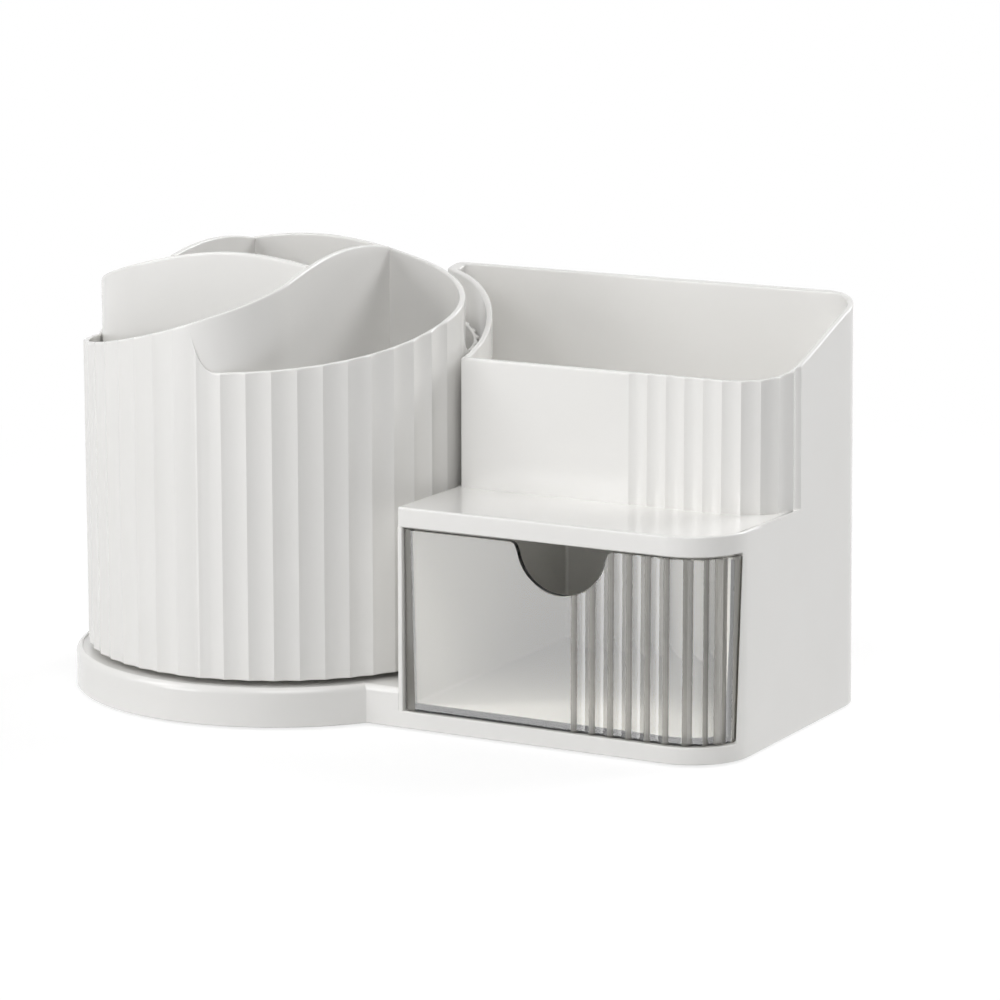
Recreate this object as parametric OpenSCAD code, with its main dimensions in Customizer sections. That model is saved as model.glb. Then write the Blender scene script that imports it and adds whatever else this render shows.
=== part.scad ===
// Makeup organizer: a fluted brush drum on a turntable, beside a clear drawer, an open shelf and a bin.
// Lengths are in millimetres. Pieces are drawn about the drum's axis, from the underside of the base up,
// and placed() then sets them so that the origin is under the middle of the whole organizer.

/* [Drum] */
// Radius of the drum over its flute ridges
drum_r = 61.1; // [54:0.1:70]
// Thickness of the drum's outer wall and dividers
drum_wall = 1.8; // [1.4:0.1:2.6]
// Clear width of the square slot in the middle
slot_w = 46.8; // [40:0.1:52]
// Height of the drum from its foot to the top of the dividers
drum_h = 124; // [90:1:160]
// How far the low points of the rim lie below the top
rim_dip = 30.8; // [24:0.1:40]
// How far the rim lies below the top where a blade leaves the outer wall
bend_dip = 17.8; // [12:0.1:22]
// How far a divider has dropped from the top where it ends on the next one
end_dip = 2.4; // [0:0.1:5]
// Height of the swoop that runs down from one blade to the low rim of the next
swoop_h = 12; // [6:0.1:15]
// Length of that swoop along the wall
swoop_w = 8.3; // [6:0.1:12]
// Number of flutes round the drum
flute_count = 50; // [40:1:64]
// Depth of every flute
flute_depth = 0.7; // [0.4:0.05:0.9]
// Thickness of the drum's floor
drum_floor_t = 2; // [1.6:0.1:4]
// Turn of the drum at rest
drum_turn = 0.75; // [-45:0.25:45]

/* [Base] */
// Height of the turntable base
base_h = 12; // [11:0.1:16]
// Width of the raised rim round the turntable
rim_w = 1.7; // [1.2:0.1:4]
// Radius of the turntable's rounded top edge
edge_r = 1.6; // [0.5:0.1:3]
// Depth of the recess under the drum
recess_depth = 0.5; // [0.3:0.1:1.5]
// Gap between the turntable's rim and the foot of the drum
foot_gap = 1.35; // [1.2:0.05:3]
// Thickness of the base's skin and skirt
base_skin = 2; // [1.6:0.1:2.4]
// Thickness of the bottom cover
cover_t = 1.6; // [1.4:0.1:2]
// Height that the rubber feet stand out
foot_stand = 0.8; // [0.4:0.1:2]
// Radius of a rubber foot
foot_r = 6; // [4:0.5:8]

/* [Housing] */
// Clear gap between the drum and the wall hollowed round it
well_gap = 2.2; // [1.5:0.1:4]
// Width of the housing, from the drum's side to the right face
body_w = 107; // [95:1:140]
// Depth of the housing from front to back
body_d = 103.7; // [96:0.1:116]
// Distance of the housing's front face before the drum's axis
front_reach = 38.7; // [34:0.1:42]
// Radius of the front right corner
corner_r = 19; // [14:0.5:24]
// Radius of the back right corner
back_r = 15; // [8:0.5:22]
// Distance of the back wall's left end from the drum's axis, to the right
tail_x = 25; // [15:0.5:35]
// Radius of the corner at that end
tail_r = 4; // [2.5:0.5:6]
// Thickness of the housing and bin walls
body_wall = 1.8; // [1.4:0.1:3]
// Height of the drawer bay's floor
bay_floor = 5.2; // [5:0.1:8]
// Height of the drawer opening
opening_h = 56.1; // [40:0.1:80]
// Thickness of the shelf
shelf_t = 6.1; // [3:0.1:9]
// Depth of the open shelf before the bin
shelf_d = 35.3; // [24:0.1:44]
// Height of the bin's front wall over the shelf
bin_front_h = 39.8; // [25:0.1:50]
// Height of the bin's back wall over the shelf
bin_back_h = 58.2; // [50:0.1:80]
// Number of flutes on the straight beside the front right corner
straight_flutes = 5; // [2:1:7]
// Number of flutes round the front right corner
corner_flutes = 5; // [4:1:7]

/* [Drawer] */
// Wall thickness of the drawer
drawer_wall = 2; // [1.6:0.1:3]
// Gap at each side of the drawer, and over it
drawer_gap = 0.5; // [0.4:0.05:1]
// Height of the drawer's floor over the bay floor
drawer_lift = 0.3; // [0.2:0.05:1]
// Radius of the half-round finger notch
notch_r = 14.6; // [8:0.1:18]
// Radius of the fillets at the mouth of the notch
notch_fillet = 2.4; // [1:0.1:4]

/* [Turntable] */
// Radius of the pivot spigot under the drum
pivot_r = 5; // [4:0.1:7]
// Wall thickness of the pivot bush
bush_wall = 2; // [1.5:0.1:3]
// Radius of the circle that the balls run on
track_r = 40; // [30:0.5:48]
// Number of balls
ball_count = 12; // [8:1:16]
// How deep a ball sits in each of its two tracks
ball_sink = 0.8; // [0.5:0.05:1.2]
// Width of the ball cage
cage_w = 7; // [6:0.5:10]
// Thickness of the ball cage
cage_t = 1.1; // [0.8:0.1:1.3]

/* [Clearances] */
// Clearance of a shaft that runs in a bore, on the radius
run_gap = 0.05; // [0.02:0.01:0.1]
// Clearance of a ball in its track and its cage, on the radius
ball_gap = 0.1; // [0.05:0.01:0.15]
// Clearance between pieces that fit together and don't move
fit_gap = 0.1; // [0.05:0.01:0.2]
// Clearance between flat faces that turn past each other
turn_gap = 0.3; // [0.2:0.05:0.5]

/* [Fasteners] */
// Radius of the pivot screw's thread
pivot_screw_r = 1.5; // [1:0.1:2]
// Radius of the pivot screw's head
pivot_head_r = 3; // [2.5:0.1:4]
// Height of the pivot screw's head
pivot_head_h = 1.2; // [1:0.1:1.3]
// Thickness of the pivot washer
washer_t = 1; // [0.6:0.1:1.1]
// Radius of a cover screw's thread
screw_r = 1.1; // [0.9:0.1:1.4]
// Radius of a cover screw's head
screw_head_r = 2.4; // [2:0.1:3]
// Height of a cover screw's head
screw_head_h = 0.9; // [0.6:0.1:1]
// Length of a cover screw under its head
screw_l = 3.2; // [2.5:0.1:3.4]
// Radius of a screw boss
boss_r = 3.6; // [3:0.1:5]

/* [Hidden] */
$fn = 72;
eps = 0.01;
cut = 1;
// Flutes are cut a little wider than their pitch, so that they meet in ridges
flute_lap = 1.02;

white = "whitesmoke";
smoke = [0.42, 0.42, 0.40, 0.45];

// Plan of the organizer
well_r = drum_r + well_gap;
base_r = well_r + rim_w;
side_x = well_r + body_w;
front_y = -front_reach;
back_y = body_d - front_reach;
bin_front_y = front_y + shelf_d;
middle_x = (side_x - base_r) / 2;
middle_y = (max(back_y, base_r) - base_r) / 2;

// Heights
recess_z = base_h - recess_depth;
drum_foot = base_h + foot_gap;
drum_floor_z = drum_foot + drum_floor_t;
shelf_z = bay_floor + opening_h;
shelf_top = shelf_z + shelf_t;
bin_front_z = shelf_top + bin_front_h;
bin_back_z = shelf_top + bin_back_h;

// Drum blades: the middle line of a blade leaves the outer wall, bends by a quarter and runs straight
mid_r = drum_r - drum_wall / 2;
bend_r = slot_w / 2 + drum_wall / 2;
bend_out = bend_r + drum_wall / 2;
bend_in = bend_r - drum_wall / 2;
bend_centre = mid_r - bend_r;
blades = 4;
blade_step = 360 / blades;
flute_step = 360 / flute_count;
ridge_angle = 2.56;
degrees_per_mm = 180 / (PI * mid_r);
swoop_lead = 4.6;
swoop_power = 2.8;
swoop_start = swoop_lead * degrees_per_mm - blade_step;
least_skin = 0.4;
// Places of a blade's sections in a flute, and the least turn between two sections
flute_places = [0, 0.15, 0.35, 0.5, 0.65, 0.85];
least_turn = flute_step / 20;
bend_turn = 6;

// Rim of a blade: keys are length along the blade from where it leaves the wall, height and rise per mm
rim_top = drum_foot + drum_h;
low_rise = 0.05;
bend_rise = 0.32;
end_rise = -0.2;
bend_length = bend_r * PI / 2;
low_key = [swoop_lead + swoop_w - mid_r * PI / 2, rim_top - rim_dip, low_rise];
leave_key = [0, rim_top - bend_dip, bend_rise];
top_key = [bend_length + bend_centre, rim_top, 0];
end_key = [top_key[0] + bend_in, rim_top - end_dip, end_rise];

// Rim of the bin's side walls: keys are distance from the drum's axis, height and rise per mm
bin_knee = 20;
bin_knee_rise = 0.31;
bin_back_rise = 0.16;
bin_knee_h = 3.3;
bin_keys = [
    [bin_front_y, bin_front_z, 0],
    [bin_front_y + bin_knee, bin_front_z + bin_knee_h, bin_knee_rise],
    [back_y, bin_back_z, bin_back_rise]
];
rim_step = 2;

// Flutes of the drawer and the bin follow the corner
corner_pitch = corner_r * PI / 2 / corner_flutes;

// Drawer
drawer_left = well_r + body_wall + drawer_gap;
drawer_right = side_x - body_wall - drawer_gap;
drawer_back = back_y - body_wall - drawer_gap;
drawer_low = bay_floor + drawer_lift;
drawer_top = shelf_z - drawer_gap;
drawer_wrap = front_y + corner_r - drawer_gap;
least_r = 0.5;
tray_r = max(least_r, back_r - body_wall - drawer_gap);
notch_x = (drawer_left + side_x) / 2;

// Turntable bearing
ball_z = (recess_z + drum_foot) / 2;
ball_r = (drum_foot - recess_z) / 2 + ball_sink;
bush_r = pivot_r + run_gap + bush_wall;
bush_flange_t = 0.8;
bush_flange_w = 2;
bush_flange_r = bush_r + bush_flange_w;
hub_wall = 3;
hub_r = bush_r + hub_wall;
collar_r = bush_flange_r - fit_gap;
washer_lap = 1;
washer_r = bush_r + washer_lap;
// The pivot is stacked up from the bottom cover: screw head, washer, spigot
head_room = 0.4;
head_z = cover_t + head_room;
spigot_low = head_z + pivot_head_h + washer_t;
hub_low = spigot_low + turn_gap;
pilot_top = drum_foot - turn_gap;
pilot_spare = 1;

// Screws of the bottom cover, and feet, as places in plan
screw_inset = 14;
screw_roof = 0.6;
screw_hole_top = bay_floor - screw_roof;
screw_places = [
    for (a = [90, 180, 270]) (base_r - screw_inset) * [cos(a), sin(a)],
    [(well_r + side_x) / 2, front_y + screw_inset],
    [(well_r + side_x) / 2, back_y - screw_inset]
];
foot_inset = 12;
foot_pocket = 0.6;
foot_places = [
    for (a = [135, 225]) (base_r - foot_inset) * [cos(a), sin(a)],
    [well_r + foot_inset, front_y + foot_inset],
    [well_r + foot_inset, back_y - foot_inset],
    [side_x - foot_inset, front_y + corner_r],
    [side_x - foot_inset, back_y - foot_inset]
];

module placed() {
    translate([-middle_x, -middle_y, foot_stand]) children();
}

// Height on a smooth curve through two keys
function between(x, a, b) =
    let (h = b[0] - a[0], t = (x - a[0]) / h)
    (2 * t ^ 3 - 3 * t ^ 2 + 1) * a[1] + (t ^ 3 - 2 * t ^ 2 + t) * h * a[2]
    + (3 * t ^ 2 - 2 * t ^ 3) * b[1] + (t ^ 3 - t ^ 2) * h * b[2];

// Rectangle with its two right corners rounded
module rounded_right(x0, x1, y0, y1, r0, r1) {
    difference() {
        translate([x0, y0]) square([x1 - x0, y1 - y0]);
        translate([x1 - r0, y0 - cut]) square([r0 + cut, r0 + cut]);
        translate([x1 - r1, y1 - r1]) square([r1 + cut, r1 + cut]);
    }
    translate([x1 - r0, y0 + r0]) circle(r0);
    translate([x1 - r1, y1 - r1]) circle(r1);
}

// Plan of the body down to a front line, with its right corners and the end of its tail rounded
module outer_plan(inset, y0) {
    r = max(least_r, tail_r - inset);
    difference() {
        rounded_right(tail_x + inset, side_x - inset, y0 + inset, back_y - inset,
            corner_r - inset, back_r - inset);
        translate([tail_x + inset, back_y - inset - r]) difference() {
            translate([-cut, 0]) square(r + cut);
            translate([r, 0]) circle(r);
        }
    }
}

// Plan of the housing or the bin, hollowed round the drum, drawn in by an inset
module body_plan(inset, y0) {
    difference() {
        outer_plan(inset, y0);
        circle(well_r + inset);
        translate([-cut, y0 - cut]) square([well_r + inset + cut, max(cut, cut - y0)]);
    }
}

// Plan of the base: the turntable and the floor under the housing
module base_plan(inset) {
    circle(base_r - inset);
    outer_plan(inset, front_y);
}

// Cutters for the flutes along a front face and round its right corner
module corner_flutes_cut(y0, z0, z1) {
    chord = corner_pitch * flute_lap;
    r = (chord * chord / 4 + flute_depth * flute_depth) / (2 * flute_depth);
    for (i = [0 : straight_flutes - 1])
        translate([side_x - corner_r - (i + 0.5) * corner_pitch, y0 + flute_depth - r, z0])
            cylinder(h = z1 - z0, r = r);
    for (i = [0 : corner_flutes - 1])
        translate([side_x - corner_r, y0 + corner_r, z0])
            rotate(-90 + (i + 0.5) * 90 / corner_flutes)
                translate([corner_r - flute_depth + r, 0])
                    cylinder(h = z1 - z0, r = r);
}

// Round plate of the turntable, and the ledge between it and the housing
module turntable() {
    rotate_extrude() {
        square([base_r - edge_r, base_h]);
        square([base_r, base_h - edge_r]);
        translate([base_r - edge_r, base_h - edge_r]) circle(edge_r);
    }
    translate([0, front_y, 0]) cube([well_r, front_reach, base_h]);
}

module base_shell() {
    color(white) difference() {
        union() {
            difference() {
                union() {
                    linear_extrude(bay_floor) base_plan(0);
                    difference() {
                        turntable();
                        translate([0, 0, -cut]) linear_extrude(base_h + 2 * cut) {
                            body_plan(-fit_gap, front_y);
                            translate([well_r - fit_gap, front_y - cut]) square([side_x, body_d + 2 * cut]);
                        }
                    }
                }
                translate([0, 0, recess_z]) cylinder(h = base_h, r = well_r);
                translate([0, 0, -cut]) linear_extrude(bay_floor - base_skin + cut) base_plan(base_skin);
                translate([0, 0, -cut]) cylinder(h = recess_z - base_skin + cut, r = well_r - base_skin);
            }
            translate([0, 0, hub_low]) cylinder(h = recess_z - hub_low, r = hub_r);
            for (p = screw_places) {
                roof = norm(p) < base_r ? recess_z : bay_floor;
                translate([p[0], p[1], cover_t]) cylinder(h = roof - cover_t - base_skin / 2, r = boss_r);
            }
        }
        translate([0, 0, hub_low - cut]) cylinder(h = base_h, r = bush_r + fit_gap);
        for (p = screw_places)
            translate([p[0], p[1], cover_t - cut])
                cylinder(h = screw_hole_top - cover_t + cut, r = screw_r + fit_gap);
        ball_track();
    }
}

// Ring groove that the balls run in
module ball_track() {
    translate([0, 0, ball_z]) rotate_extrude() translate([track_r, 0]) circle(ball_r + ball_gap);
}

module bottom_cover() {
    color(white) difference() {
        linear_extrude(cover_t) base_plan(base_skin + fit_gap);
        for (p = screw_places) translate([p[0], p[1], -cut]) {
            cylinder(h = cover_t + 2 * cut, r = screw_r + fit_gap);
            cylinder(h = screw_head_h + cut, r = screw_head_r + fit_gap);
        }
        for (p = foot_places)
            translate([p[0], p[1], -cut]) cylinder(h = foot_pocket + cut, r = foot_r + fit_gap);
    }
}

module cover_screws() {
    color("silver") for (p = screw_places) translate([p[0], p[1], 0]) {
        cylinder(h = screw_head_h, r = screw_head_r);
        cylinder(h = screw_head_h + screw_l, r = screw_r);
    }
}

module rubber_foot(i) {
    color("dimgray") translate([foot_places[i][0], foot_places[i][1], -foot_stand])
        cylinder(h = foot_stand + foot_pocket, r = foot_r);
}

module housing_shell() {
    color(white) translate([0, 0, bay_floor]) linear_extrude(opening_h) difference() {
        body_plan(0, front_y);
        body_plan(body_wall, front_y);
        translate([well_r + body_wall, front_y - cut]) square([body_w, corner_r + cut]);
    }
}

// Height of the rim of the bin's side walls
function bin_rim_z(y) =
    y < bin_keys[1][0] ? between(y, bin_keys[0], bin_keys[1]) : between(y, bin_keys[1], bin_keys[2]);

// Profile above the rim of the bin's side walls, seen from the right
module above_bin_rim() {
    depth = back_y - bin_front_y;
    steps = ceil(depth / rim_step);
    over = bin_back_z + bin_back_h;
    polygon(concat(
        [[bin_front_y - cut, bin_front_z]],
        [for (i = [0 : steps]) let (y = bin_front_y + depth * i / steps) [y, bin_rim_z(y)]],
        [[back_y + cut, bin_back_z], [back_y + cut, over], [bin_front_y - cut, over]]
    ));
}

module bin_shell() {
    color(white) {
        translate([0, 0, shelf_z]) linear_extrude(shelf_t) body_plan(0, front_y);
        difference() {
            translate([0, 0, shelf_top - eps]) linear_extrude(bin_back_h) difference() {
                body_plan(0, bin_front_y);
                body_plan(body_wall, bin_front_y);
            }
            translate([-cut, 0, 0]) rotate([90, 0, 90]) linear_extrude(side_x + 2 * cut) above_bin_rim();
            corner_flutes_cut(bin_front_y, shelf_top, bin_back_z + cut);
        }
    }
}

// Plan of the drawer: a front that wraps the corner, and a tray behind it
module drawer_plan(inset) {
    intersection() {
        rounded_right(drawer_left + inset, side_x - inset, front_y + inset, back_y, corner_r - inset, back_r);
        translate([0, front_y]) square([side_x, drawer_wrap - front_y - inset]);
    }
    rounded_right(drawer_left + inset, drawer_right - inset, front_y + inset, drawer_back - inset,
        corner_r - inset, max(least_r, tray_r - inset));
}

// Outline of the finger notch: a half round with filleted mouth
module notch() {
    mouth = notch_r + notch_fillet;
    circle(notch_r);
    translate([-mouth, 0]) difference() {
        translate([0, -notch_fillet]) square([2 * mouth, notch_fillet + cut]);
        translate([0, -notch_fillet]) circle(notch_fillet);
        translate([2 * mouth, -notch_fillet]) circle(notch_fillet);
        translate([-cut, -notch_fillet - cut]) square([cut, notch_fillet + 3 * cut]);
    }
}

module drawer() {
    height = drawer_top - drawer_low;
    color(smoke) difference() {
        translate([0, 0, drawer_low]) linear_extrude(height) drawer_plan(0);
        translate([0, 0, drawer_low + drawer_wall]) linear_extrude(height) drawer_plan(drawer_wall);
        corner_flutes_cut(front_y, drawer_low - cut, drawer_top + cut);
        translate([notch_x, front_y + drawer_wall + cut, drawer_top]) rotate([90, 0, 0])
            linear_extrude(drawer_wall + 2 * cut) notch();
    }
}

module drum_floor() {
    chord = drum_r * flute_step * PI / 180 * flute_lap;
    r = (chord * chord / 4 + flute_depth * flute_depth) / (2 * flute_depth);
    color(white) rotate(drum_turn) difference() {
        union() {
            translate([0, 0, drum_foot]) cylinder(h = drum_floor_t, r = drum_r);
            translate([0, 0, recess_z + bush_flange_t + turn_gap])
                cylinder(h = drum_foot - recess_z - bush_flange_t, r = collar_r);
            translate([0, 0, spigot_low]) cylinder(h = drum_foot - spigot_low + eps, r = pivot_r);
        }
        for (i = [0 : flute_count - 1])
            rotate(ridge_angle + (i + 0.5) * flute_step)
                translate([drum_r - flute_depth + r, 0, drum_foot - cut])
                    cylinder(h = drum_floor_t + 2 * cut, r = r);
        translate([0, 0, spigot_low - cut])
            cylinder(h = pilot_top - spigot_low + cut, r = pivot_screw_r + fit_gap);
        ball_track();
    }
}

// Part of a flute that an angle of the drum lies at, from 0 to 1 between two ridges
function flute_part(a) = let (x = (a - ridge_angle) / flute_step) x - floor(x);

// Radius of the fluted wall at an angle of the drum
function fluted_r(a) = let (f = flute_part(a)) drum_r - 4 * flute_depth * f * (1 - f);

// Radius of the outer face of the blade before, at an angle past where that blade leaves the wall
function neighbour_r(d) = bend_centre * cos(d) + sqrt(max(0, bend_out ^ 2 - (bend_centre * sin(d)) ^ 2));

// Radius of a blade's inner face: it lies on the blade before where the two meet
function inner_r(a) =
    let (past = a + blade_step, plain = drum_r - drum_wall)
    past < blade_step / 3 ? max(plain, neighbour_r(past) + fit_gap) : plain;

// Angle of the last ridge before a blade leaves the wall; from there on the blade is plain
function last_ridge(k) = -flute_part(k * blade_step) * flute_step;

// Radius of a blade's outer face
function outer_r(a, k) =
    a > last_ridge(k) ? drum_r : max(fluted_r(a + k * blade_step), inner_r(a) + least_skin);

// Height of a blade's rim at a length along the blade
function rim_z(u) =
    u < low_key[0] ? low_key[1]
    : u < leave_key[0] ? between(u, low_key, leave_key)
    : u < top_key[0] ? between(u, leave_key, top_key)
    : between(u, top_key, end_key);

// Rise of the swoop at an angle of the outer wall
function swoop_z(a) = swoop_h * max(0, 1 - (a - swoop_start) / (swoop_w * degrees_per_mm)) ^ swoop_power;

function polar(r, a) = [r * cos(a), r * sin(a)];

// Angles of the outer wall at which a blade has a section, several in each flute
function wall_angles(k) = [
    for (i = [-flute_count : flute_count], f = flute_places)
        let (a = ridge_angle + (i + f) * flute_step - k * blade_step)
        if (a > swoop_start + least_turn && a < -least_turn) a
];

// Sections of a blade, each with its inner point, its outer point and the height of its rim
function blade_sections(k) = concat(
    [for (a = concat([swoop_start], wall_angles(k)))
        [polar(inner_r(a), a), polar(outer_r(a, k), a), rim_z(a / degrees_per_mm) + swoop_z(a)]],
    [for (a = [0 : bend_turn : 90])
        let (c = [bend_centre, 0])
        [c + polar(bend_in, a), c + polar(bend_out, a), rim_z(bend_r * a * PI / 180)]],
    [for (x = [bend_centre - rim_step : -rim_step : eps - bend_in])
        [[x, bend_in], [x, bend_out], rim_z(bend_length + bend_centre - x)]],
    [[[-bend_in, bend_in], [-bend_in, bend_out], end_key[1]]]
);

module drum_blade(k) {
    s = blade_sections(k);
    last = 4 * (len(s) - 1);
    points = [
        for (p = s, corner = [0 : 3])
            let (xy = corner == 0 || corner == 3 ? p[0] : p[1])
            [xy[0], xy[1], corner < 2 ? drum_floor_z : p[2]]
    ];
    faces = concat(
        [[0, 3, 2], [0, 2, 1], [last, last + 1, last + 2], [last, last + 2, last + 3]],
        [for (i = [0 : len(s) - 2], e = [0 : 3], half = [0, 1])
            let (a = 4 * i + e, b = 4 * i + (e + 1) % 4)
            half == 0 ? [a, b, b + 4] : [a, b + 4, a + 4]]
    );
    color(white) rotate(drum_turn + k * blade_step) polyhedron(points, faces);
}

module pivot_bush() {
    color("ivory") difference() {
        union() {
            translate([0, 0, hub_low]) cylinder(h = recess_z - hub_low + eps, r = bush_r);
            translate([0, 0, recess_z]) cylinder(h = bush_flange_t, r = bush_flange_r);
        }
        translate([0, 0, hub_low - cut]) cylinder(h = base_h, r = pivot_r + run_gap);
    }
}

module pivot_washer() {
    color("silver") translate([0, 0, spigot_low - washer_t]) difference() {
        cylinder(h = washer_t, r = washer_r);
        translate([0, 0, -cut]) cylinder(h = washer_t + 2 * cut, r = pivot_screw_r + fit_gap);
    }
}

module pivot_screw() {
    color("silver") translate([0, 0, head_z]) {
        cylinder(h = pivot_head_h, r = pivot_head_r);
        cylinder(h = pilot_top - pilot_spare - head_z, r = pivot_screw_r);
    }
}

module ball_cage() {
    color("gainsboro") translate([0, 0, ball_z - cage_t / 2]) difference() {
        cylinder(h = cage_t, r = track_r + cage_w / 2);
        translate([0, 0, -cut]) cylinder(h = cage_t + 2 * cut, r = track_r - cage_w / 2);
        for (i = [0 : ball_count - 1])
            rotate(i * 360 / ball_count) translate([track_r, 0, -cut])
                cylinder(h = cage_t + 2 * cut, r = ball_r + ball_gap);
    }
}

module bearing_balls() {
    color("silver") for (i = [0 : ball_count - 1])
        rotate(i * 360 / ball_count) translate([track_r, 0, ball_z]) sphere(ball_r);
}

placed() base_shell();
placed() bottom_cover();
placed() cover_screws();
for (i = [0 : len(foot_places) - 1])
    placed() rubber_foot(i);
placed() housing_shell();
placed() bin_shell();
placed() drawer();
placed() drum_floor();
for (k = [0 : blades - 1])
    placed() drum_blade(k);
placed() ball_cage();
placed() bearing_balls();
placed() pivot_bush();
placed() pivot_washer();
placed() pivot_screw();
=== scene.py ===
"""Looks of the makeup organizer: white mouldings and a smoked drawer over the frame, in soft studio light."""
from math import acos, asin, atan2, ceil, cos, degrees, floor, hypot, pi, radians, sin, sqrt

import bmesh
import bpy
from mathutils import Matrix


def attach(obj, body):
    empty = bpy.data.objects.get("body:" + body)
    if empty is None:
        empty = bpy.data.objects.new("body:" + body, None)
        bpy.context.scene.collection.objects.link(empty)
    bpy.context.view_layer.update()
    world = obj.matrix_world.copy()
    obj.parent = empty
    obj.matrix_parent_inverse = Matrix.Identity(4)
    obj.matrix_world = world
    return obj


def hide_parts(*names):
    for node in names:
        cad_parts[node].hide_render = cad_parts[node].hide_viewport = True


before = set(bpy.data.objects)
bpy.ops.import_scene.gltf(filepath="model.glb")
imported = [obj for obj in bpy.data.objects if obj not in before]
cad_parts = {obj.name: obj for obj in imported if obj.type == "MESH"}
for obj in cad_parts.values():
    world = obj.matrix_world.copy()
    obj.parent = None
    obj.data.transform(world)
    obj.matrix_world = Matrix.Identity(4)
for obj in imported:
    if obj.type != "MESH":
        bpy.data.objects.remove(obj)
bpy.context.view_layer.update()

# Sizes in millimetres, from the drum's axis and up from the underside of the base.
# In the shared frame that axis stands at ROW_X, and that underside ROW_Z above the floor
ROW_X, ROW_Z = -52.65, 0.8
WELL_R, BASE_R, SIDE_X = 63.3, 65.0, 170.3
FRONT_Y, BIN_Y, BACK_Y = -38.7, -3.4, 65.0
CORNER_R, BACK_R, TAIL_X, TAIL_R = 19.0, 15.0, 25.0, 4.0
# The tail's tip is rounded, less so inside, where it also ends short by this many times the wall
TIP_R, TIP_LEAST, TIP_SHORT = 1.8, 0.6, 2.4
WALL, POST_W = 1.8, 1.45
# Width of the flat strip that ends each face before its rounded edge
HOLD = 0.4
# Faces that meet at more than this, in degrees, show a crease; the steps over a rounded edge stay under it
CREASE = 16
BASE_H, RECESS_Z, BAY_FLOOR, SHELF_Z, SHELF_TOP = 12.0, 11.5, 5.2, 61.3, 67.4
BIN_RIM = ((BIN_Y, 107.2, 0.0), (BIN_Y + 20, 110.5, 0.31), (BACK_Y, 125.6, 0.16))
# Flutes on the front and as many round its corner, and the columns that each is drawn with
FLUTE_DEPTH, FLUTE_PITCH, FLUTES, FLUTE_STEPS = 0.7, CORNER_R * pi / 10, 5, 10
FLUTE_START = SIDE_X - CORNER_R - FLUTES * FLUTE_PITCH
# The bin's flutes start late, by a part of a flute, and are a little wider
BIN_LATE, BIN_WIDE = 0.1, 1.02
# The bin's left wall stands out from the hollow by this at the front, and meets it at this angle
BIN_FLARE, BIN_MEETS = 1.9, 8.0
# The outer walls lean in a little as they rise, as a moulding that leaves its mould upwards does
LEAN = 0.0107

DRUM_R, DRUM_WALL, SLOT_W = 61.1, 1.8, 46.8
DRUM_FOOT, DRUM_FLOOR, DRUM_TOP, DRUM_TURN = 13.35, 15.35, 137.35, 0.75
DRUM_FLUTES, RIDGE_ANGLE = 50, 2.56
MID_R = DRUM_R - DRUM_WALL / 2
BEND_R = SLOT_W / 2 + DRUM_WALL / 2
BEND_IN, BEND_OUT, BEND_X = SLOT_W / 2, SLOT_W / 2 + DRUM_WALL, MID_R - BEND_R
TURN_PER_MM = 180 / (pi * MID_R)
# A blade's rim starts with a swoop, and then goes through keys of length along the blade, height and rise
SWOOP_LEAD, SWOOP_W, SWOOP_H, SWOOP_POWER = 4.6, 8.3, 12.0, 2.8
SWOOP_START = SWOOP_LEAD * TURN_PER_MM - 90
BEND_LENGTH = BEND_R * pi / 2
LOW_KEY = (SWOOP_LEAD + SWOOP_W - MID_R * pi / 2, DRUM_TOP - 30.8, 0.05)
LEAVE_KEY = (0.0, DRUM_TOP - 17.8, 0.32)
TOP_KEY = (BEND_LENGTH + BEND_X, DRUM_TOP, 0.0)
END_KEY = (TOP_KEY[0] + BEND_IN, DRUM_TOP - 2.4, -0.2)

DRAWER_LEFT, DRAWER_RIGHT, DRAWER_BACK = 65.2, 167.0, 62.7
DRAWER_LOW, DRAWER_TOP, DRAWER_WALL = 5.5, 60.8, 2.0
# The drawer's turned corner ends at these angles, in degrees before the side: at its foot and at its rim
SEAM_LOW, SEAM_TOP = -20.0, -12.5
# Width of the bevel down the left edge of the drawer's front, at its foot and at its rim, and its slope
BEVEL_LOW, BEVEL_TOP, BEVEL_SLOPE = 4.0, 2.6, 0.31
# Part of a flute's width that has painted shade: up to the first flute of the turn, in its second one, and
# after.
# After it the last part of a flute, from the last number here on, has painted shade as well
FRONT_SHADED_PART, SECOND_SHADED_PART, TURN_SHADED_PART, END_SHADED_FROM = 0.3, 0.5, 0.25, 0.65
# The painted shade there runs from 0 to 1 across a flank; the bevel has one painted shade, and the seam,
# some degrees wide, a darker one
BEVEL_PAINTED_SHADE, SEAM_PAINTED_SHADE, SEAM_WIDE = 0.6, 1.7, 3.2
TRAY_R = 12.7
NOTCH_X, NOTCH_R, NOTCH_FILLET = 117.95, 14.6, 2.4


# Curves and outlines

def between(x, a, b):
    """Height on a smooth curve through two keys of place, height and rise."""
    w = b[0] - a[0]
    t = (x - a[0]) / w
    return ((2 * t**3 - 3 * t**2 + 1) * a[1] + (t**3 - 2 * t**2 + t) * w * a[2]
            + (3 * t**2 - 2 * t**3) * b[1] + (t**3 - t**2) * w * b[2])


def steps(a, b, n, first=True, last=True):
    """Evenly spaced numbers from a to b in n steps, with or without the two ends."""
    return [a + (b - a) * i / n for i in range(0 if first else 1, n + 1 if last else n)]


def arc(cx, cy, r, a0, a1, n):
    """Points on an arc, from one angle to another in degrees."""
    return [(cx + r * cos(radians(a)), cy + r * sin(radians(a))) for a in steps(a0, a1, n)]


def lip(r):
    """Steps over a rounded edge, from the wall to the top: how far in and how far down."""
    return [(r * (1 - cos(radians(a))), r * (1 - sin(radians(a)))) for a in steps(0, 90, 6)]


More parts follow.
